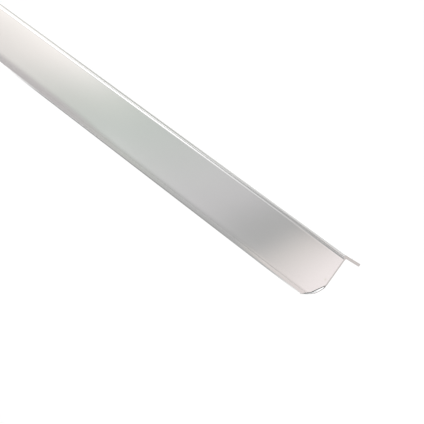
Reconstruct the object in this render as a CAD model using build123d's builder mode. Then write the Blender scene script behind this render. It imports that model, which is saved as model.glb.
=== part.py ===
from build123d import *
import os
from math import acos, atan2, cos, degrees, hypot, pi, radians, sin, sqrt

# An extruded aluminium edge trim, cut to length. Its section is a flat face
# with a flange across its top edge and a hollow half-round bead behind its
# bottom edge. In the section, "back" is measured from the front face and
# "down" from the flange's outer face, in millimetres.

# Driving dimensions
length = 1000.0
height = 30.0
face_wall = 1.5
flange_wall = 1.6
flange_back = 18.5
root_radius = 1.0
lip_reach = 1.2
lip_height = 1.1
lip_nose_radius = 0.8
lip_corner_radius = 0.25
cove_radius = 2.0
strip_radius = 3.2
strip_clearance = 0.5
nose_radius = 1.6
bead_depth = 6.0
bead_deepest_above_nose = 4.0
bead_wall = 0.9
bead_heel_radius = 0.6
chamber_corner_radius = 0.4
quirk_half_width = 0.3
quirk_depth = 0.3
clip_height = 11.7
clip_length = 9.8
clip_knee_height = 4.4
clip_knee_inset = 4.5
clip_knee_radius = 3.0
clip_slant = 8.5

# Cove: it runs out of the face and up to the lip's lower corner
cove_turn = acos((cove_radius - lip_reach) / cove_radius)
cove_down = lip_height + cove_radius * sin(cove_turn)

# Strip: one arc that leaves the face at the crease. It is a clearance lower than its
# radius, so it runs tangent into the nose before it has turned a quarter.
strip_height = strip_radius - strip_clearance
crease_down = height - strip_height
nose_down = height - nose_radius
nose_rise = nose_down - crease_down
nose_back = strip_radius - sqrt((strip_radius - nose_radius) ** 2 - nose_rise**2)

# Bead: its back is one arc that runs tangent into the nose
behind_nose = bead_depth - nose_back
bead_radius = (bead_deepest_above_nose**2 + behind_nose**2 - nose_radius**2) / (
    2 * (behind_nose - nose_radius)
)
bead_centre_back = bead_depth - bead_radius
bead_centre_down = nose_down - bead_deepest_above_nose
wall_from_centre = face_wall - bead_centre_back
bead_top_down = bead_centre_down - sqrt(bead_radius**2 - wall_from_centre**2)

# Chamber: it follows the bead's back, one wall inside it, down to the nose
chamber_radius = bead_radius - bead_wall
chamber_half = sqrt(chamber_radius**2 - wall_from_centre**2)
chamber_drop = nose_down - bead_centre_down
chamber_floor_back = bead_centre_back + sqrt(chamber_radius**2 - chamber_drop**2)

# Resting pose: the face up, on the flange's round tip and the bead
tip_radius = flange_wall / 2
tip_back = flange_back - tip_radius
tip_down = tip_radius
tip_from_bead = tip_back - bead_centre_back
bead_below_tip = bead_centre_down - tip_down
tilt = acos((bead_radius - tip_radius) / hypot(tip_from_bead, bead_below_tip)) - atan2(
    bead_below_tip, tip_from_bead
)

# Where the section's corner stands, so that the trim is centred over its floor
back_dir = Vector(0, sin(tilt), -cos(tilt))
corner_height = tip_back * cos(tilt) + tip_down * sin(tilt) + tip_radius
right_of_corner = tip_back * sin(tilt) - tip_down * cos(tilt) + tip_radius
left_of_corner = nose_down * cos(tilt) - nose_back * sin(tilt) + nose_radius
corner_y = (left_of_corner - right_of_corner) / 2
far_end = Plane(origin=(-length / 2, corner_y, corner_height), x_dir=back_dir, z_dir=(1, 0, 0))
near_corner = Vector(length / 2, corner_y, corner_height)
slant = radians(clip_slant)
across_clip = back_dir * sin(slant) + Vector(cos(slant), 0, 0)
through_clip = back_dir * cos(slant) - Vector(sin(slant), 0, 0)
clip_view = Plane(origin=near_corner, x_dir=across_clip, z_dir=through_clip * -1)

# Angles where the arcs of the bead meet, from the direction "back"
strip_turn = atan2(nose_rise, strip_radius - nose_back) - pi
bead_turn = -atan2(bead_deepest_above_nose, nose_back - bead_centre_back)
heel_turn = atan2(bead_centre_down - bead_top_down, wall_from_centre)
chamber_low_turn = -atan2(chamber_drop, chamber_floor_back - bead_centre_back)
chamber_high_turn = atan2(chamber_half, wall_from_centre)


def on_circle(centre, radius, turn):
    """The point of a circle at an angle, its centre given as back and down."""
    return (centre[0] + radius * cos(turn), radius * sin(turn) - centre[1])


def arc(centre, radius, first, last):
    """An arc about a centre given as back and down, from one angle to another."""
    turns = (first, (first + last) / 2, last)
    return ThreePointArc(*[on_circle(centre, radius, turn) for turn in turns])


with BuildPart() as profile:
    with BuildSketch(far_end) as section:
        bead_centre = (bead_centre_back, bead_centre_down)
        with BuildLine():
            cove = arc((-cove_radius, cove_down), cove_radius, 0, cove_turn)
            lip_front = Line(cove @ 1, (-lip_reach, 0))
            tip = arc((tip_back, tip_down), tip_radius, pi / 2, -pi / 2)
            Line(lip_front @ 1, tip @ 0)
            root_centre = (face_wall + root_radius, flange_wall + root_radius)
            root = arc(root_centre, root_radius, pi / 2, pi)
            Line(tip @ 1, root @ 0)
            bead = arc(bead_centre, bead_radius, heel_turn, bead_turn)
            Line(root @ 1, bead @ 0)
            arc((nose_back, nose_down), nose_radius, bead_turn, strip_turn)
            strip = arc((strip_radius, crease_down), strip_radius, strip_turn, -pi)
            Line(strip @ 1, cove @ 0)
        make_face()
        lip_lower = section.vertices().sort_by_distance((-lip_reach, -lip_height, 0))[0]
        fillet(lip_lower, lip_corner_radius)
        lip_upper = section.vertices().sort_by_distance((-lip_reach, 0, 0))[0]
        fillet(lip_upper, lip_nose_radius)
        heel = section.vertices().sort_by_distance((face_wall, -bead_top_down, 0))[0]
        fillet(heel, bead_heel_radius)
        # The quirk is a shallow vee along the top of the strip
        with BuildLine():
            Polyline(
                (-quirk_depth, -crease_down + 2 * quirk_half_width),
                (quirk_depth, -crease_down),
                (-quirk_depth, -crease_down - 2 * quirk_half_width),
                close=True,
            )
        make_face(mode=Mode.SUBTRACT)
    extrude(amount=length)

    # The bead's chamber runs the whole length
    with BuildSketch(far_end) as chamber:
        with BuildLine():
            chamber_floor = Line(
                (face_wall, -nose_down), on_circle(bead_centre, chamber_radius, chamber_low_turn)
            )
            rear = arc(bead_centre, chamber_radius, chamber_low_turn, chamber_high_turn)
            Line(rear @ 1, chamber_floor @ 0)
        make_face()
        fillet(chamber.vertices(), chamber_corner_radius)
    extrude(amount=length, mode=Mode.SUBTRACT)

    # The bottom corner is clipped off at the near end by two cuts that meet at a rounded
    # knee. Both cuts lean a little towards the far end behind the face.
    with BuildSketch(clip_view) as clip:
        top_x, top_y = 2 * clip_knee_inset, 2 * (clip_height - clip_knee_height)
        low_x, low_y = 2 * (clip_length - clip_knee_inset), 2 * clip_knee_height
        knee = (-clip_knee_inset, clip_knee_height - height)
        with BuildLine():
            Polyline(
                (knee[0] + top_x, knee[1] + top_y),
                knee,
                (knee[0] - low_x, knee[1] - low_y),
                (knee[0] + top_x, knee[1] - low_y),
                close=True,
            )
        make_face()
        knee_vertex = clip.vertices().sort_by_distance((*knee, 0))[0]
        fillet(knee_vertex, clip_knee_radius)
    extrude(amount=bead_depth * 2, both=True, mode=Mode.SUBTRACT)

profile.part.label = "profile"

os.makedirs("parts", exist_ok=True)
export_step(profile.part, "parts/profile.step")
box = profile.part.bounding_box()
print("tilt", round(degrees(tilt), 3), "low", box.min, "high", box.max)
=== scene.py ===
# %% [markdown]
# # An aluminium edge trim
# This is one length of extruded aluminium: a flat face with a thin flange
# across its top edge and a hollow half-round bead behind its bottom edge.
# It lies face up on a pale floor, leaning on the flange and the bead. The
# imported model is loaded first, so every later size and place can be held
# against it.

# %% Load the frame
import math

import bpy
from mathutils import Matrix, Vector


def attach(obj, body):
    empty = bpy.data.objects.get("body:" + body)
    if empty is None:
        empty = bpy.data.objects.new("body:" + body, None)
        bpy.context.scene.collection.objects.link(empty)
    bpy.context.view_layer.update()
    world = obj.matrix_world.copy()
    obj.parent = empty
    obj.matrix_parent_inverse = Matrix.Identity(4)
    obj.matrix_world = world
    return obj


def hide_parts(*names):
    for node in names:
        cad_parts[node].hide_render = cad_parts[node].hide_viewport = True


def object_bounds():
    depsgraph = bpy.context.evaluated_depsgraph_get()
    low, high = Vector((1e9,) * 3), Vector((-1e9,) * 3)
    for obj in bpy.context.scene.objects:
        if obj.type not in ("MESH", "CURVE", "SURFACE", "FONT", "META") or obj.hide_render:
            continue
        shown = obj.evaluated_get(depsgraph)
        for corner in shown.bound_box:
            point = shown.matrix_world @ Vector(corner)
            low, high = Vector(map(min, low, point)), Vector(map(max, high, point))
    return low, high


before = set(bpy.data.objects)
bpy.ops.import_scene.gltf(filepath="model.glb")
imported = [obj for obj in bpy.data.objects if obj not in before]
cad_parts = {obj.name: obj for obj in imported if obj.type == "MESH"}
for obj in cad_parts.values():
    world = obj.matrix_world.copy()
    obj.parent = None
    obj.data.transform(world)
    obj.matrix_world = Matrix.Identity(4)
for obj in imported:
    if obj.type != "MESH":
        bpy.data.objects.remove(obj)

cad_low, cad_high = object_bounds()
print("CAD box", [round(v, 5) for v in (*cad_low, *cad_high)])

# %% [markdown]
# ## The section
# An extrusion is fully described by its section, the outline that the die
# gives it. The sizes below are the ones of the solid model, in metres, but for
# the chamber's small corners, which are bevels here, because they are hardly
# seen. "Back" is measured from the front face and "down" from the flange's
# outer face. The last values describe the clipped corner at the near end.

# %% Sizes of the section
MM = 0.001
HEIGHT = 30.0 * MM
FACE_WALL = 1.5 * MM
FLANGE_WALL = 1.6 * MM
FLANGE_BACK = 18.5 * MM
ROOT_RADIUS = 1.0 * MM
LIP_REACH = 1.2 * MM
LIP_HEIGHT = 1.1 * MM
LIP_NOSE_RADIUS = 0.8 * MM
LIP_CORNER_RADIUS = 0.25 * MM
COVE_RADIUS = 2.0 * MM
STRIP_RADIUS = 3.2 * MM
STRIP_CLEARANCE = 0.5 * MM
NOSE_RADIUS = 1.6 * MM
BEAD_DEPTH = 6.0 * MM
BEAD_ABOVE_NOSE = 4.0 * MM
BEAD_WALL = 0.9 * MM
HEEL_RADIUS = 0.6 * MM
CHAMBER_BEVEL = 0.3 * MM
QUIRK_HALF_WIDTH = 0.3 * MM
QUIRK_DEPTH = 0.3 * MM
CLIP_HEIGHT = 11.7 * MM
CLIP_LENGTH = 9.8 * MM
CLIP_KNEE_HEIGHT = 4.4 * MM
CLIP_KNEE_INSET = 4.5 * MM
CLIP_KNEE_RADIUS = 3.0 * MM
CLIP_SLANT = math.radians(8.5)
print("section", HEIGHT / MM, "mm high,", FLANGE_BACK / MM, "mm deep")

# %% Where the bead's arcs have their centres
crease_down = HEIGHT - (STRIP_RADIUS - STRIP_CLEARANCE)
nose_down = HEIGHT - NOSE_RADIUS
nose_rise = nose_down - crease_down
nose_back = STRIP_RADIUS - math.sqrt((STRIP_RADIUS - NOSE_RADIUS) ** 2 - nose_rise**2)
behind_nose = BEAD_DEPTH - nose_back
bead_radius = (BEAD_ABOVE_NOSE**2 + behind_nose**2 - NOSE_RADIUS**2) / (
    2 * (behind_nose - NOSE_RADIUS)
)
bead_back = BEAD_DEPTH - bead_radius
bead_down = nose_down - BEAD_ABOVE_NOSE
wall_from_centre = FACE_WALL - bead_back
print("bead radius in mm", round(bead_radius / MM, 3))

# %% [markdown]
# The trim rests on two rounds: the flange's tip and the bead's back. The line
# that touches both is the floor, which gives the tilt of the section.

# %% The resting pose
tip_radius = FLANGE_WALL / 2
tip_back = FLANGE_BACK - tip_radius
tip_from_bead = tip_back - bead_back
bead_below_tip = bead_down - tip_radius
tilt = math.acos(
    (bead_radius - tip_radius) / math.hypot(tip_from_bead, bead_below_tip)
) - math.atan2(bead_below_tip, tip_from_bead)
back_dir = Vector((0, math.sin(tilt), -math.cos(tilt)))
down_dir = Vector((0, -math.cos(tilt), -math.sin(tilt)))
corner_z = tip_back * math.cos(tilt) + tip_radius * math.sin(tilt) + tip_radius
corner_right = tip_back * math.sin(tilt) - tip_radius * math.cos(tilt) + tip_radius
corner_left = nose_down * math.cos(tilt) - nose_back * math.sin(tilt) + NOSE_RADIUS
near_end = cad_high.x
corner = Vector((0, (corner_left - corner_right) / 2, corner_z))
print("tilt in degrees", round(math.degrees(tilt), 3))


def place(along, back, down):
    """A point of the trim in the frame, from its place along, back and down."""
    return Vector((along, 0, 0)) + corner + back_dir * back + down_dir * down


# %% [markdown]
# ## The outline
# The outline is a closed run of lines and arcs. Curves with handles would do
# too, but plain points put every arc exactly where the solid model has it.
# Each arc is cut into short steps of a few degrees, fine enough to look round
# in a close view. A corner is rounded by an arc that touches both of its lines.

# %% Arcs and rounded corners
ARC_STEP = math.radians(4)
HALF_TURN = math.pi
QUARTER = math.pi / 2


def arc(centre, radius, first, last):
    """Points of an arc, its centre given as back and down, its angles from "back" towards "up"."""
    steps = max(2, math.ceil(abs(last - first) / ARC_STEP))
    turns = [first + (last - first) * i / steps for i in range(steps + 1)]
    return [
        (centre[0] + radius * math.cos(t), centre[1] - radius * math.sin(t)) for t in turns
    ]


print("a quarter round takes", len(arc((0, 0), ROOT_RADIUS, 0, QUARTER)), "points")

# %% [markdown]
# Some rounds touch a neighbour on each side, so their places are worked out.
# The strip's curve runs into the nose, a small heel fills the corner where the
# bead leaves the back of the face, and the cove runs up to the lip's corner.

# %% Where the arcs meet
heel_back = FACE_WALL + HEEL_RADIUS
heel_reach = bead_radius + HEEL_RADIUS
heel_down = bead_down - math.sqrt(heel_reach**2 - (heel_back - bead_back) ** 2)
heel_turn = math.atan2(bead_down - heel_down, heel_back - bead_back)
bead_turn = -math.atan2(BEAD_ABOVE_NOSE, nose_back - bead_back)
strip_turn = math.atan2(nose_rise, STRIP_RADIUS - nose_back) - HALF_TURN
strip_start = math.asin(QUIRK_HALF_WIDTH / STRIP_RADIUS) - HALF_TURN
print("heel starts, in mm down", round(heel_down / MM, 2))

# %% Where the cove ends
cove_turn = math.acos(1 - LIP_REACH / COVE_RADIUS)
cove_down = LIP_HEIGHT + COVE_RADIUS * math.sin(cove_turn)
lip_mid = LIP_CORNER_RADIUS - LIP_REACH
corner_reach = COVE_RADIUS + LIP_CORNER_RADIUS
corner_turn = math.acos((COVE_RADIUS + lip_mid) / corner_reach)
corner_down = cove_down - corner_reach * math.sin(corner_turn)
print("cove turns degrees", round(math.degrees(corner_turn), 1))

# %% The outer outline
root_down = FLANGE_WALL + ROOT_RADIUS
outline = [
    *arc((-COVE_RADIUS, cove_down), COVE_RADIUS, 0, corner_turn),
    *arc((lip_mid, corner_down), LIP_CORNER_RADIUS, corner_turn - HALF_TURN, -HALF_TURN)[1:],
    *arc((LIP_NOSE_RADIUS - LIP_REACH, LIP_NOSE_RADIUS), LIP_NOSE_RADIUS, HALF_TURN, QUARTER),
    *arc((tip_back, tip_radius), tip_radius, QUARTER, -QUARTER),
    *arc((FACE_WALL + ROOT_RADIUS, root_down), ROOT_RADIUS, QUARTER, HALF_TURN),
    *arc((heel_back, heel_down), HEEL_RADIUS, HALF_TURN, HALF_TURN + heel_turn),
    *arc((bead_back, bead_down), bead_radius, heel_turn, bead_turn)[1:],
    *arc((nose_back, nose_down), NOSE_RADIUS, bead_turn, strip_turn)[1:],
    *arc((STRIP_RADIUS, crease_down), STRIP_RADIUS, strip_turn, strip_start)[1:],
    (QUIRK_DEPTH, crease_down),
    (0, crease_down - QUIRK_HALF_WIDTH),
]
print("outline points", len(outline))

# %% The chamber inside the bead
chamber_radius = bead_radius - BEAD_WALL
chamber_low = -math.asin((nose_down - CHAMBER_BEVEL - bead_down) / chamber_radius)
chamber_high = math.acos((wall_from_centre + CHAMBER_BEVEL) / chamber_radius)
rear = arc((bead_back, bead_down), chamber_radius, chamber_low, chamber_high)
chamber = [
    (rear[0][0] - CHAMBER_BEVEL, nose_down),
    *rear,
    (FACE_WALL, rear[-1][1] + CHAMBER_BEVEL),
    (FACE_WALL, nose_down - CHAMBER_BEVEL),
    (FACE_WALL + CHAMBER_BEVEL, nose_down),
]
print("chamber points", len(chamber))


# %% [markdown]
# ## From section to trim
# The die's work follows one rule, so it is a Geometry Nodes tree: fill the
# section, push it along, close both ends and cut the corner off. The section
# is a curve with two closed splines, and filling it leaves the chamber open.
# Pushing a flat mesh by hand would give the same bar, but a tree keeps each
# size as a named input. A small helper adds a node, sets it up and feeds its
# sockets. It serves the materials later as well.

# %% Arithmetic on sockets
class Value:
    """An output socket, with arithmetic that adds Math nodes to its tree."""

    def __init__(self, nodes, socket):
        self.nodes = nodes
        self.socket = socket

    def math(self, operation, *others):
        """A Math node of an operation, fed with this value and others."""
        sockets = dict(enumerate((self, *others)))
        return self.nodes.add("ShaderNodeMath", {"operation": operation}, sockets)[0]

    def __add__(self, other):
        return self.math("ADD", other)

    def __mul__(self, other):
        return self.math("MULTIPLY", other)

    def __sub__(self, other):
        return self.math("SUBTRACT", other)

    def __rsub__(self, other):
        sockets = {0: other, 1: self}
        return self.nodes.add("ShaderNodeMath", {"operation": "SUBTRACT"}, sockets)[0]

    __radd__ = __add__
    __rmul__ = __mul__


print("helper for sums:", Value.__name__)


# %% A helper that adds nodes
class Made:
    """A node that was added. Its outputs are read by name or number."""

    def __init__(self, nodes, node):
        self.nodes = nodes
        self.node = node

    def __getitem__(self, name):
        return Value(self.nodes, self.node.outputs[name])


class Nodes:
    """The nodes of one tree."""

    def __init__(self, tree):
        self.tree = tree

    def add(self, kind, settings=None, sockets=None):
        """A node of a kind, its settings made first, then values or links for its sockets."""
        node = self.tree.nodes.new(kind)
        for name, value in (settings or {}).items():
            if name == "stops":
                self.set_stops(node.color_ramp, value)
            else:
                setattr(node, name, value)
        for name, value in (sockets or {}).items():
            if isinstance(value, Value):
                self.tree.links.new(value.socket, node.inputs[name])
            else:
                node.inputs[name].default_value = value
        return Made(self, node)

    def set_stops(self, ramp, stops):
        """The stops of a colour ramp: places and colours."""
        for i, (position, colour) in enumerate(stops):
            stop = ramp.elements[i] if i < 2 else ramp.elements.new(position)
            stop.position = position
            stop.color = (*colour, 1)


print("helpers for nodes:", Made.__name__, Nodes.__name__)


# %% The section as a curve
def closed_curve(name, loops):
    """A flat curve with one closed spline for each loop of (back, down) points."""
    curve = bpy.data.curves.new(name, "CURVE")
    curve.dimensions = "2D"
    curve.fill_mode = "NONE"
    for loop in loops:
        spline = curve.splines.new("POLY")
        spline.points.add(len(loop) - 1)
        for point, (back, down) in zip(spline.points, loop):
            point.co = (back, -down, 0, 1)
        spline.use_cyclic_u = True
    made = bpy.data.objects.new(name, curve)
    bpy.context.scene.collection.objects.link(made)
    return made


section = closed_curve("section", [outline, chamber])
print("splines", len(section.data.splines))

# %% [markdown]
# ## Three finishes
# The long faces are satin anodised: a thin clear oxide over fine lines that
# the die drew along the trim. The sawn ends were cut after anodising, so they
# are bare metal with faint saw marks across them. Inside the bead the wall is
# as the die left it, duller and paler. The materials are made first, because
# the tree puts them on the faces. All are worked out from the place on the
# piece, so no picture has to be wrapped around it.

# %% A new material
def new_material(name):
    """An empty material and the helper for its tree."""
    material = bpy.data.materials.new(name)
    material.use_nodes = True
    material.node_tree.nodes.clear()
    nodes = Nodes(material.node_tree)
    return material, nodes


def finish_material(nodes, surface):
    """Links a shader to the material's output."""
    nodes.add("ShaderNodeOutputMaterial", sockets={"Surface": surface})


def blend(nodes, factor, first, second):
    """A mix of two colours."""
    return nodes.add("ShaderNodeMix", {"data_type": "RGBA"}, {0: factor, 6: first, 7: second})[2]


def step(nodes, value, first, last):
    """Zero before the first value, one after the last, smooth between."""
    return nodes.add(
        "ShaderNodeMapRange", {"interpolation_type": "SMOOTHSTEP"},
        {"Value": value, "From Min": first, "From Max": last},
    )["Result"]


print("materials so far", len(bpy.data.materials))

# %% [markdown]
# The die lines run along the trim and are very fine across it. A noise whose
# scale is small along X and large across it gives just that. It reads object
# coordinates, which are metres here, so a scale of 2500 is a line every 0.4
# millimetres. The real trim has one faint greenish smudge near its clipped
# corner, so a small soft spot is laid over the tint there.

# %% Noise along the trim
def stretched_noise(nodes, along, across, detail=2.0):
    """Noise with its own scale along the trim and across it."""
    point = nodes.add("ShaderNodeTexCoord")["Object"]
    scaled = nodes.add(
        "ShaderNodeMapping", {"vector_type": "POINT"},
        {"Vector": point, "Scale": (along, across, across)},
    )["Vector"]
    return nodes.add(
        "ShaderNodeTexNoise", {"noise_dimensions": "3D"},
        {"Vector": scaled, "Scale": 1.0, "Detail": detail, "Roughness": 0.5},
    )[0]


DIE_LINES = 2500.0
print("a die line every", 1 / DIE_LINES / MM, "mm")

# %% Satin anodised aluminium
SMUDGE_PLACE = place(near_end - 1.9 * MM, 0, 16 * MM)
SMUDGE_EDGE, SMUDGE_CORE = 1.3 * MM, 0.2 * MM


def anodised():
    """Satin anodised aluminium: pale, slightly uneven, with fine lines along it."""
    material, nodes = new_material("satin_anodised")
    lines = stretched_noise(nodes, 3.0, DIE_LINES)
    clouds = stretched_noise(nodes, 25.0, 60.0, 3.0)
    uneven = clouds * 0.7 + lines * 0.3
    tint = blend(nodes, uneven, (0.86, 0.86, 0.855, 1), (0.90, 0.895, 0.89, 1))
    bump = nodes.add(
        "ShaderNodeBump", None, {"Strength": 0.15, "Distance": 0.00001, "Height": lines}
    )["Normal"]
    spot = nodes.add(
        "ShaderNodeVectorMath", {"operation": "DISTANCE"},
        {0: nodes.add("ShaderNodeTexCoord")["Object"], 1: SMUDGE_PLACE},
    )["Value"]
    smudge = step(nodes, spot, SMUDGE_EDGE, SMUDGE_CORE)
    tint = blend(nodes, smudge * 0.3, tint, (0.66, 0.70, 0.56, 1))
    surface = nodes.add(
        "ShaderNodeBsdfPrincipled", None,
        {
            "Base Color": tint,
            "Metallic": 1.0,
            "Roughness": 0.18 + clouds * 0.03 + lines * 0.02,
            "Normal": bump,
        },
    )["BSDF"]
    finish_material(nodes, surface)
    return material


satin = anodised()
print("made", satin.name)

# %% [markdown]
# A saw leaves short marks across the cut and a surface that scatters more than
# the coated face. Cut teeth could be modelled, but they are far finer than a
# pixel, so a dense noise in the bump and the tint is enough. The cut's darker,
# pinkish-brown tint is painted shade.

# %% Sawn ends
def sawn():
    """Bare sawn aluminium, duller, with fine marks across the cut; its darker pinkish-brown tint is
    painted shade.
    """
    material, nodes = new_material("sawn_aluminium_painted_shade")
    marks = stretched_noise(nodes, 4000.0, 900.0, 3.0)
    # Darker, pinkish-brown tint: painted shade on the cut, with the saw marks in its noise.
    tint = blend(nodes, marks, (0.45, 0.415, 0.40, 1), (0.55, 0.51, 0.495, 1))
    bump = nodes.add(
        "ShaderNodeBump", None, {"Strength": 0.3, "Distance": 0.00002, "Height": marks}
    )["Normal"]
    surface = nodes.add(
        "ShaderNodeBsdfPrincipled", None,
        {"Base Color": tint, "Metallic": 1.0, "Roughness": 0.28 + marks * 0.08, "Normal": bump},
    )["BSDF"]
    finish_material(nodes, surface)
    return material


sawn_and_shaded = sawn()
print("made", sawn_and_shaded.name)

# %% [markdown]
# The coating hardly reaches into the bead, so its chamber keeps the die's dry,
# pale finish. It is seen only through the clipped corner, as the white gap
# between the two cut edges. A rougher, half metallic surface catches the light
# there from any side.

# %% Inside the bead
def mill():
    """The chamber's walls as the die left them: pale, dull and dry."""
    material, nodes = new_material("mill_finish")
    lines = stretched_noise(nodes, 6.0, 1500.0, 3.0)
    tint = blend(nodes, lines, (0.78, 0.79, 0.79, 1), (0.86, 0.86, 0.86, 1))
    bump = nodes.add(
        "ShaderNodeBump", None, {"Strength": 0.2, "Distance": 0.00002, "Height": lines}
    )["Normal"]
    surface = nodes.add(
        "ShaderNodeBsdfPrincipled", None,
        {"Base Color": tint, "Metallic": 0.3, "Roughness": 0.6 + lines * 0.1, "Normal": bump},
    )["BSDF"]
    finish_material(nodes, surface)
    return material


inner = mill()
print("made", inner.name)

# %% [markdown]
# ## The tree
# Filling works in the curve's own flat plane, so the trim is grown there,
# straight up, and turned into its resting pose afterwards. The corner was
# clipped by two straight cuts that meet in a rounded knee, and both lean a
# little behind the face. Four large blocks do it: each stands against the
# knee's round at its own angle, the first and last at the angles of the two
# cuts, and one small turn about the near end leans them all. Every face that
# looks partly along the trim was cut, and gets the sawn finish with painted
# shade. The chamber's wall is found by its distance from the bead's centre.

# %% What the tree is given
def tree_inputs(tree):
    """Named inputs for the sizes, the clip's centre and the finishes."""
    tree.interface.new_socket("Geometry", in_out="OUTPUT", socket_type="NodeSocketGeometry")
    tree.interface.new_socket("Geometry", in_out="INPUT", socket_type="NodeSocketGeometry")
    numbers = (
        "Length", "Clip Block", "Clip First Turn", "Clip Last Turn", "Clip Radius", "Clip Slant",
        "Chamber Back", "Chamber Down", "Chamber Radius", "Chamber Front",
    )
    for name in numbers:
        tree.interface.new_socket(name, in_out="INPUT", socket_type="NodeSocketFloat")
    tree.interface.new_socket("Clip Centre", in_out="INPUT", socket_type="NodeSocketVector")
    for name in ("Finish", "Cut Finish And Shade", "Chamber Finish"):
        tree.interface.new_socket(name, in_out="INPUT", socket_type="NodeSocketMaterial")


grow_tree = bpy.data.node_groups.new("trim_from_section", "GeometryNodeTree")
tree_inputs(grow_tree)
print("tree inputs", len(grow_tree.interface.items_tree) - 1)


# %% Push the section along
WELD = 1e-7


def pushed_bar(nodes, given):
    """The filled section pushed along its length, both ends closed and welded."""
    filled = nodes.add("GeometryNodeFillCurve", None, {"Curve": given["Geometry"]})["Mesh"]
    pushed = nodes.add(
        "GeometryNodeExtrudeMesh", {"mode": "FACES"},
        {"Mesh": filled, "Offset Scale": given["Length"], "Individual": False},
    )["Mesh"]
    closing = nodes.add("GeometryNodeFlipFaces", None, {"Mesh": filled})["Mesh"]
    joined = nodes.add("GeometryNodeJoinGeometry")
    for part in (closing, pushed):
        nodes.tree.links.new(part.socket, joined.node.inputs["Geometry"])
    return nodes.add(
        "GeometryNodeMergeByDistance", None, {"Geometry": joined["Geometry"], "Distance": WELD}
    )["Geometry"]


grow = Nodes(grow_tree)
given = grow.add("NodeGroupInput")
bar = pushed_bar(grow, given)
print("tree nodes for the bar", len(grow_tree.nodes))


# %% Clip the corner
CLIP_FACETS = 4


def clipped_bar(nodes, given, bar):
    """The bar less a few large blocks that stand around the knee's round."""
    size = nodes.add(
        "ShaderNodeCombineXYZ", None, {i: given["Clip Block"] for i in range(3)}
    )["Vector"]
    block = nodes.add("GeometryNodeMeshCube", None, {"Size": size})["Mesh"]
    reach = given["Clip Radius"] + given["Clip Block"] * 0.5
    outside = nodes.add("ShaderNodeCombineXYZ", None, {"Z": reach})["Vector"]
    lifted = nodes.add(
        "GeometryNodeTransform", None, {"Geometry": block, "Translation": outside}
    )["Geometry"]
    slant = nodes.add("ShaderNodeCombineXYZ", None, {"Y": given["Clip Slant"]})["Vector"]
    end = nodes.add("ShaderNodeCombineXYZ", None, {"Z": given["Length"]})["Vector"]
    cut = nodes.add("GeometryNodeMeshBoolean", {"operation": "DIFFERENCE", "solver": "EXACT"})
    nodes.tree.links.new(bar.socket, cut.node.inputs["Mesh 1"])
    for i in range(CLIP_FACETS):
        share = i / (CLIP_FACETS - 1)
        around = given["Clip First Turn"] * (1.0 - share) + given["Clip Last Turn"] * share
        turn = nodes.add("ShaderNodeCombineXYZ", None, {"X": around})["Vector"]
        placed = nodes.add(
            "GeometryNodeTransform", None,
            {"Geometry": lifted, "Translation": given["Clip Centre"], "Rotation": turn},
        )["Geometry"]
        slanted = nodes.add(
            "GeometryNodeTransform", None,
            {"Geometry": placed, "Translation": end, "Rotation": slant},
        )["Geometry"]
        nodes.tree.links.new(slanted.socket, cut.node.inputs["Mesh 2"])
    return cut["Mesh"]


clipped = clipped_bar(grow, given, bar)
print("blocks around the knee", CLIP_FACETS)


# %% Put the finishes on
CUT_FACES = 0.1


def finished_bar(nodes, given, clipped):
    """The real geometry with its finishes: all over, in the chamber, then on the cuts."""
    real = nodes.add("GeometryNodeRealizeInstances", None, {"Geometry": clipped})[0]
    coated = nodes.add(
        "GeometryNodeSetMaterial", None, {"Geometry": real, "Material": given["Finish"]}
    )["Geometry"]
    position = nodes.add("GeometryNodeInputPosition")["Position"]
    middle = nodes.add("ShaderNodeSeparateXYZ", None, {0: position})
    aside = middle["X"] - given["Chamber Back"]
    below = middle["Y"] + given["Chamber Down"]
    from_centre = (aside * aside + below * below).math("SQRT")
    inside = from_centre.math("LESS_THAN", given["Chamber Radius"])
    behind = middle["X"].math("GREATER_THAN", given["Chamber Front"])
    lined = nodes.add(
        "GeometryNodeSetMaterial", None,
        {"Geometry": coated, "Selection": inside * behind, "Material": given["Chamber Finish"]},
    )["Geometry"]
    normal = nodes.add("GeometryNodeInputNormal")["Normal"]
    facing = nodes.add("ShaderNodeSeparateXYZ", None, {"Vector": normal})["Z"].math("ABSOLUTE")
    sawn_off = facing.math("GREATER_THAN", CUT_FACES)
    # The cut faces get the sawn material, whose darker tint is painted shade.
    return nodes.add(
        "GeometryNodeSetMaterial", None,
        {"Geometry": lined, "Selection": sawn_off, "Material": given["Cut Finish And Shade"]},
    )["Geometry"]


grow.add("NodeGroupOutput", None, {"Geometry": finished_bar(grow, given, clipped)})
print("tree nodes in all", len(grow_tree.nodes))

# %% [markdown]
# The tree is run by a modifier on the section. The export needs plain meshes,
# so its result is taken over as one and the modifier goes. Joining gives the
# mesh empty material slots, and they are dropped.

# %% A plain mesh from the tree
def apply_tree(source, tree, values, name):
    """A plain mesh made by a tree from a source object, which is taken away after."""
    modifier = source.modifiers.new("grow", "NODES")
    modifier.node_group = tree
    for item in tree.interface.items_tree:
        if item.in_out == "INPUT" and item.name in values:
            modifier[item.identifier] = values[item.name]
    evaluated = source.evaluated_get(bpy.context.evaluated_depsgraph_get())
    mesh = bpy.data.meshes.new_from_object(evaluated)
    mesh.name = name
    for i in reversed(range(len(mesh.materials))):
        if mesh.materials[i] is None:
            mesh.materials.pop(index=i)
    source.modifiers.remove(modifier)
    bpy.data.objects.remove(source)
    return mesh


print("curves to grow from", len(section.data.splines))

# %% [markdown]
# The knee's round touches both cuts, so its centre lies on the line that
# halves their angle. The two turns are the angles of the cuts, seen from the
# front.

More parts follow.
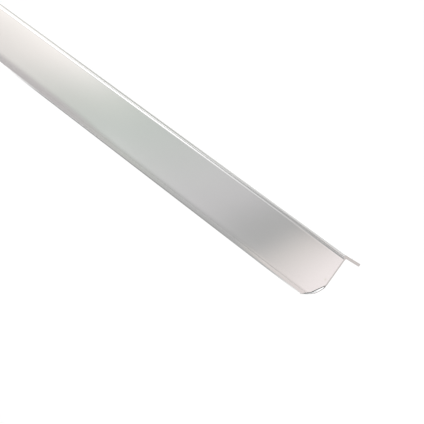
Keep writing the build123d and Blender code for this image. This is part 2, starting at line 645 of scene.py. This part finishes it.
# %% Where the clip's knee has its centre
first_turn = math.atan2(CLIP_KNEE_INSET, CLIP_HEIGHT - CLIP_KNEE_HEIGHT)
last_turn = math.atan2(CLIP_LENGTH - CLIP_KNEE_INSET, CLIP_KNEE_HEIGHT)
middle_turn = (first_turn + last_turn) / 2
from_knee = CLIP_KNEE_RADIUS / math.cos((last_turn - first_turn) / 2)
clip_centre = Vector((
    0,
    CLIP_KNEE_HEIGHT - HEIGHT + from_knee * math.sin(middle_turn),
    -CLIP_KNEE_INSET - from_knee * math.cos(middle_turn),
))
print("clip turns", round(math.degrees(first_turn), 1), round(math.degrees(last_turn), 1))

# %% The trim in its resting pose
CLIP_BLOCK = 60 * MM
trim_mesh = apply_tree(
    section,
    grow_tree,
    {
        "Length": cad_high.x - cad_low.x,
        "Clip Block": CLIP_BLOCK,
        "Clip First Turn": first_turn,
        "Clip Last Turn": last_turn,
        "Clip Radius": CLIP_KNEE_RADIUS,
        "Clip Slant": CLIP_SLANT,
        "Clip Centre": clip_centre,
        "Chamber Back": bead_back,
        "Chamber Down": bead_down,
        "Chamber Radius": chamber_radius + BEAD_WALL / 4,
        "Chamber Front": FACE_WALL - BEAD_WALL / 4,
        "Finish": satin,
        "Cut Finish And Shade": sawn_and_shaded,
        "Chamber Finish": inner,
    },
    "trim",
)
to_rest = Matrix((back_dir, -down_dir, (1, 0, 0))).transposed().to_4x4()
trim_mesh.transform(Matrix.Translation(place(cad_low.x, 0, 0)) @ to_rest)
trim = bpy.data.objects.new("trim", trim_mesh)
bpy.context.scene.collection.objects.link(trim)
for polygon in trim_mesh.polygons:
    polygon.use_smooth = True
trim_mesh.set_sharp_from_angle(angle=math.radians(30))
print("trim faces", len(trim_mesh.polygons), "materials", [m.name for m in trim_mesh.materials])

# %% [markdown]
# The trim is one piece of stock, so it rides on the frame's only body and
# takes the place of its only solid.

# %% Tie it to the frame
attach(trim, "root")
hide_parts("profile")
top = max(vertex.co.z for vertex in trim_mesh.vertices)
print("trim rides the root, its top in mm", round(top / MM, 2))

# %% [markdown]
# ## Floor, light and camera
# The photograph is a plain product shot on white. The floor is pale paper. It
# lights the trim with its own colour, but where the camera or a mirror looks
# at it, it is near white and keeps only a soft shadow.

# %% Floor
FLOOR_HALF = 6.0


def sheet(name, low_x, high_x, low_y, high_y):
    """A flat stage piece, one face in its own XY plane."""
    mesh = bpy.data.meshes.new(name)
    corners = [(low_x, low_y, 0), (high_x, low_y, 0), (high_x, high_y, 0), (low_x, high_y, 0)]
    mesh.from_pydata(corners, [], [(0, 1, 2, 3)])
    made = bpy.data.objects.new(name, mesh)
    bpy.context.scene.collection.objects.link(made)
    return made


floor = sheet("floor", -FLOOR_HALF, FLOOR_HALF, -FLOOR_HALF, FLOOR_HALF)
print("floor", 2 * FLOOR_HALF, "m wide")


# %% White for the eye
def looked_at(nodes):
    """One where the camera, a mirror or a clear piece looks, zero for other light."""
    path = nodes.add("ShaderNodeLightPath")
    seen = path["Is Camera Ray"].math("MAXIMUM", path["Is Glossy Ray"])
    return seen.math("MAXIMUM", path["Is Transmission Ray"])


def floor_paint():
    """White paper: its own colour for the light it gives, and white where it is looked at."""
    material, nodes = new_material("white_paper")
    paper = nodes.add("ShaderNodeBsdfDiffuse", None, {"Color": (0.8, 0.8, 0.8, 1)})["BSDF"]
    shade = nodes.add("ShaderNodeBsdfDiffuse", None, {"Color": (0.15, 0.15, 0.15, 1)})["BSDF"]
    glow = nodes.add("ShaderNodeEmission", None, {"Strength": 0.92})["Emission"]
    white = nodes.add("ShaderNodeAddShader", None, {0: shade, 1: glow})[0]
    mixed = nodes.add("ShaderNodeMixShader", None, {0: looked_at(nodes), 1: paper, 2: white})[0]
    finish_material(nodes, mixed)
    return material


floor.data.materials.append(floor_paint())
print("floor paint", floor.data.materials[0].name)

# %% [markdown]
# ## What the metal mirrors
# Satin metal shows the things around it, so its tones come from four cards
# that only its reflections see. They are painted with soft ramps along the
# trim, because the real metal mirrors a room that was never in the picture.
# Two helpers read a card's own coordinates and lay a ramp along them.

# %% Cards for the reflections
FACING = Matrix(((1, 0, 0), down_dir, back_dir)).transposed().to_4x4()
CARD_HALF_LENGTH = 0.8


def card(name, stand, low, high, material):
    """A long sheet between two values of its own Y, stood by a matrix."""
    made = sheet(name, -CARD_HALF_LENGTH, CARD_HALF_LENGTH, low, high)
    made.data.materials.append(material)
    made.matrix_world = stand
    made.visible_camera = False
    made.visible_diffuse = False
    made.visible_shadow = False
    print("card", name, "from", low, "to", high)


def where(nodes):
    """Object coordinates of a card: along the trim and down its face."""
    parts = nodes.add("ShaderNodeSeparateXYZ", None, {0: nodes.add("ShaderNodeTexCoord")["Object"]})
    return parts["X"], parts["Y"]


def ramp(nodes, value, first, last, stops):
    """Colours along a value, their places given in the value's own unit."""
    share = nodes.add(
        "ShaderNodeMapRange", None, {"Value": value, "From Min": first, "From Max": last}
    )["Result"]
    placed = [((at - first) / (last - first), colour) for at, colour in stops]
    return nodes.add("ShaderNodeValToRGB", {"stops": placed}, {"Fac": share})["Color"]


def grey(level):
    """A colour with the same red, green and blue."""
    return (level, level, level)


def emit(nodes, tones):
    """A shader that glows in its tones."""
    return nodes.add("ShaderNodeEmission", None, {"Color": tones})["Emission"]


print("cards look along", tuple(round(v, 3) for v in back_dir))

# %% [markdown]
# The large card stands parallel to the face, six centimetres in front of it.
# Its tones change along the trim, and lean a little across it: pale far away,
# grey in the middle, darkest a little before the near end and rosy at the end.
# Above the face it holds what the lip's round nose mirrors, and below the face
# what the cove mirrors.

# %% What the face mirrors
LARGE_GAP = 60 * MM
TONES_TOP, TONES_MIDDLE, TONES_BOTTOM = -5 * MM, 17.5 * MM, 34 * MM
LEAN, LEAN_FADE = 3.8, 7.4


def face_colours(nodes, along, down):
    """The tones of the flat face."""
    held = down.math("MINIMUM", TONES_BOTTOM).math("MAXIMUM", TONES_TOP)
    from_middle = held - TONES_MIDDLE
    leant = along + from_middle * (LEAN - along * LEAN_FADE)
    face = ramp(nodes, leant, 0.15, 0.47, [
        (0.190, (0.92, 0.88, 0.85)),
        (0.222, (0.82, 0.81, 0.78)),
        (0.265, (0.66, 0.69, 0.65)),
        (0.293, (0.60, 0.64, 0.61)),
        (0.359, grey(0.625)),
        (0.385, (0.60, 0.59, 0.60)),
        (0.411, grey(0.46)),
        (0.425, grey(0.445)),
        (0.442, (0.74, 0.70, 0.68)),
        (0.466, (1.02, 0.945, 0.94)),
    ])
    far_fade = step(nodes, along, 0.30, 0.23) * from_middle * 12.0
    near_fade = step(nodes, along, 0.42, 0.44) * step(nodes, along, 0.465, 0.45)
    near_fade = near_fade * step(nodes, down, 0.009, 0.005) * 0.18
    far_glow = step(nodes, down, 0.010, 0.006) * 0.06 + step(nodes, down, 0.006, 0.0) * 0.20
    far_glow = far_glow * step(nodes, along, 0.275, 0.235)
    fade = far_fade + near_fade - far_glow
    return nodes.add(
        "ShaderNodeVectorMath", {"operation": "SCALE"}, {0: face, "Scale": 1.0 - fade}
    )["Vector"]


print("face tones stop leaning at, in m along", round(LEAN / LEAN_FADE, 3))


# %% What the cove and the lip mirror
def cove_colours(nodes, along, down):
    """The tones of the cove. Its foot next to the face stays pale a little longer."""
    cove = ramp(nodes, along, 0.25, 0.45, [
        (0.29, grey(1.5)), (0.333, grey(1.05)), (0.362, grey(0.74)), (0.41, grey(0.42)),
    ])
    cove_foot = ramp(nodes, along, 0.25, 0.45, [
        (0.28, grey(1.5)), (0.31, grey(1.12)), (0.333, grey(1.0)), (0.39, grey(0.86)),
        (0.41, grey(0.82)), (0.43, grey(0.58)), (0.445, grey(0.38)),
    ])
    return blend(nodes, step(nodes, down, 0.078, 0.062), cove, cove_foot)


def lip_colours(nodes, along, down):
    """The tones of the lip's front, darker along its middle."""
    lip = ramp(nodes, along, 0.15, 0.45, [
        (0.17, (0.68, 0.68, 0.64)), (0.22, (0.60, 0.605, 0.57)), (0.31, (0.60, 0.605, 0.57)),
        (0.41, grey(0.74)),
    ])
    shaded = step(nodes, along, 0.20, 0.23) * step(nodes, along, 0.36, 0.33)
    shaded = shaded * step(nodes, down, -0.030, -0.015)
    return blend(nodes, shaded, lip, (0.22, 0.23, 0.21, 1))


print("cove reaches, in mm down", round(cove_down / MM, 2))


# %% The large card
def large_paint():
    """Lip above, face in the middle and cove below, with soft changes between."""
    material, nodes = new_material("large_card")
    along, down = where(nodes)
    face = face_colours(nodes, along, down)
    cove = cove_colours(nodes, along, down)
    lower = blend(nodes, step(nodes, down, 0.034, 0.041), face, cove)
    lip = lip_colours(nodes, along, down)
    tones = blend(nodes, step(nodes, down, -0.006, -0.001), lip, lower)
    finish_material(nodes, emit(nodes, tones))
    return material


large_stand = Matrix.Translation(place(0, -LARGE_GAP, 0)) @ FACING
card("large_card", large_stand, -800 * MM, 150 * MM, large_paint())

# %% [markdown]
# The strip below the quirk curves away from the face, so it has a card of its
# own, small and close. The card's upper edge fades out, or the face would
# mirror it as a line.

# %% The small card before the strip
SMALL_GAP = 6 * MM


def small_paint():
    """The tones of the strip, clear towards the face."""
    material, nodes = new_material("small_card")
    along, down = where(nodes)
    tones = ramp(nodes, along, 0.20, 0.50, [
        (0.28, (0.54, 0.515, 0.52)),
        (0.34, (0.555, 0.565, 0.54)),
        (0.395, grey(0.51)),
        (0.435, grey(0.47)),
        (0.448, (0.60, 0.58, 0.56)),
        (0.458, (0.74, 0.70, 0.68)),
        (0.485, (0.82, 0.75, 0.74)),
    ])
    clear = nodes.add("ShaderNodeBsdfTransparent")["BSDF"]
    fade_start = step(nodes, along, 0.29, 0.34) * 0.0022 + 0.0242
    solid = step(nodes, down, fade_start, 0.0276)
    mixed = nodes.add("ShaderNodeMixShader", None, {0: solid, 1: clear, 2: emit(nodes, tones)})[0]
    finish_material(nodes, mixed)
    return material


small_stand = Matrix.Translation(place(0, -SMALL_GAP, 0)) @ FACING
card("small_card", small_stand, 24 * MM, 48.5 * MM, small_paint())

# %% [markdown]
# Rounds and cuts that look down mirror the floor. The steep start of the cove
# sees it in front of the trim, and the nose sees the strip of floor before it.
# The two sawn cuts of the clip each see a straight track beneath the trim. The
# tracks are dark, as the sawn edge is in the photograph, and the rest there is
# a warm shade for the bead's rear edge.

# %% Tones of the floor before the trim
def front_colours(nodes, along, across):
    """The floor in front: one ramp far from the trim, another close to it, then white."""
    far = ramp(nodes, along, 0.25, 0.45, [
        (0.288, grey(1.5)), (0.32, grey(0.88)), (0.345, grey(0.58)), (0.385, grey(0.36)),
    ])
    near = ramp(nodes, along, 0.20, 0.50, [
        (0.20, grey(1.9)), (0.265, grey(0.4)), (0.42, grey(0.4)), (0.465, grey(0.55)),
        (0.49, grey(1.2)),
    ])
    front = blend(nodes, step(nodes, across, -0.034, -0.030), far, near)
    return blend(nodes, step(nodes, across, -0.0175, -0.0165), front, (1.15, 1.15, 1.15, 1))


print("the trim's front edge is at y, in mm", round(cad_low.y / MM, 1))


# %% Tones under the clipped corner
UPPER_TRACK = (1.51, 0.7602)
LOWER_TRACK = (0.68, 0.3491)


def cut_colours(nodes, along, across):
    """Warm shade with two dark straight tracks, one for each cut."""
    upper, lower = (
        step(nodes, across - along * slope + offset, 1.4 * MM, 0.8 * MM)
        for slope, offset in (UPPER_TRACK, LOWER_TRACK)
    )
    return blend(nodes, upper.math("MAXIMUM", lower), (0.5, 0.42, 0.42, 1), (0.05, 0.08, 0.09, 1))


print("slopes of the tracks", UPPER_TRACK[0], LOWER_TRACK[0])


# %% The card on the floor
def floor_card_paint():
    """The floor in front, and a small patch under the clipped corner."""
    material, nodes = new_material("floor_card")
    along, across = where(nodes)
    front = front_colours(nodes, along, across)
    under = step(nodes, along, 0.490, 0.4935) * step(nodes, along, 0.5004, 0.4989)
    under = under * step(nodes, across, -0.0178, -0.0172) * step(nodes, across, 0.002, 0.0)
    tones = blend(nodes, under, front, cut_colours(nodes, along, across))
    finish_material(nodes, emit(nodes, tones))
    return material


card("floor_card", Matrix.Translation((0, 0, 0.4 * MM)), -0.16, 0.10, floor_card_paint())

# %% [markdown]
# The lip's round nose turns over to the flange, and there it mirrors what
# stands behind the trim. An upright card in an even grey gives the thin line
# along the top edge.

# %% The card behind the lip
BACK_GAP = 50 * MM


def back_paint():
    """One even grey."""
    material, nodes = new_material("back_card")
    finish_material(nodes, emit(nodes, (0.78, 0.78, 0.77, 1)))
    return material


upright = Matrix.Translation((0, BACK_GAP, 0)) @ Matrix.Rotation(QUARTER, 4, "X")
card("back_card", upright, 0, 0.2, back_paint())

# %% [markdown]
# The world is soft grey room light. Where it is looked at, it is plain white,
# as the ground of the photograph. A light dome or a picture of a room would
# light the trim as well, but they would put shapes into its mirror.

# %% World
world = bpy.data.worlds.new("studio")
bpy.context.scene.world = world
world.use_nodes = True
world.node_tree.nodes.clear()
sky = Nodes(world.node_tree)
room = sky.add("ShaderNodeBackground", None, {"Color": (0.6, 0.6, 0.6, 1), "Strength": 1.0})[0]
backdrop = sky.add("ShaderNodeBackground", None, {"Color": (1, 1, 1, 1), "Strength": 1.0})[0]
shown = sky.add("ShaderNodeMixShader", None, {0: looked_at(sky), 1: room, 2: backdrop})[0]
sky.add("ShaderNodeOutputWorld", None, {"Surface": shown})
print("world nodes", len(world.node_tree.nodes))

# %% [markdown]
# A small lamp low at the right shines into the bead's open end, where the
# chamber's pale wall catches it.

# %% Lamp at the open end
lamp_data = bpy.data.lights.new("end_lamp", "AREA")
lamp_data.size = 0.02
lamp_data.energy = 0.13
lamp = bpy.data.objects.new("end_lamp", lamp_data)
bpy.context.scene.collection.objects.link(lamp)
mouth = place(near_end - 4 * MM, 5 * MM, 24 * MM)
lamp.location = mouth + Vector((0.055, -0.075, 0.02))
lamp.rotation_euler = (mouth - lamp.location).to_track_quat("-Z", "Y").to_euler()
lamp.visible_glossy = False
print("lamp", round((mouth - lamp.location).length, 3), "m from the bead's mouth")

# %% [markdown]
# The camera was placed by matching the trim's straight edges and the near
# end's corners with the photograph, 424 pixels a side. Its view is long and
# looks down along the trim, so the far part leaves the picture at the left.

# %% Camera
PHOTO_SIDE = 424
FOCAL_PIXELS = 1359.8
CAMERA_PLACE = (0.8173941, -0.2462456, 0.5722965)
CAMERA_TURNS = ((1.03972, "Z"), (0.68504, "X"), (-0.27147, "Z"))
camera_data = bpy.data.cameras.new("camera")
camera = bpy.data.objects.new("camera", camera_data)
bpy.context.scene.collection.objects.link(camera)
bpy.context.scene.camera = camera
camera_data.lens = camera_data.sensor_width * FOCAL_PIXELS / PHOTO_SIDE
aim = Matrix.Translation(CAMERA_PLACE)
for turn, axis in CAMERA_TURNS:
    aim = aim @ Matrix.Rotation(turn, 4, axis)
camera.matrix_world = aim
camera_data.dof.use_dof = False
print("lens in mm", round(camera_data.lens, 2))

# %% [markdown]
# The plain view transform keeps a tone of one as paper white, which a softer
# one would turn grey.

# %% Colour handling
bpy.context.scene.view_settings.view_transform = "Standard"
print("view transform", bpy.context.scene.view_settings.view_transform)
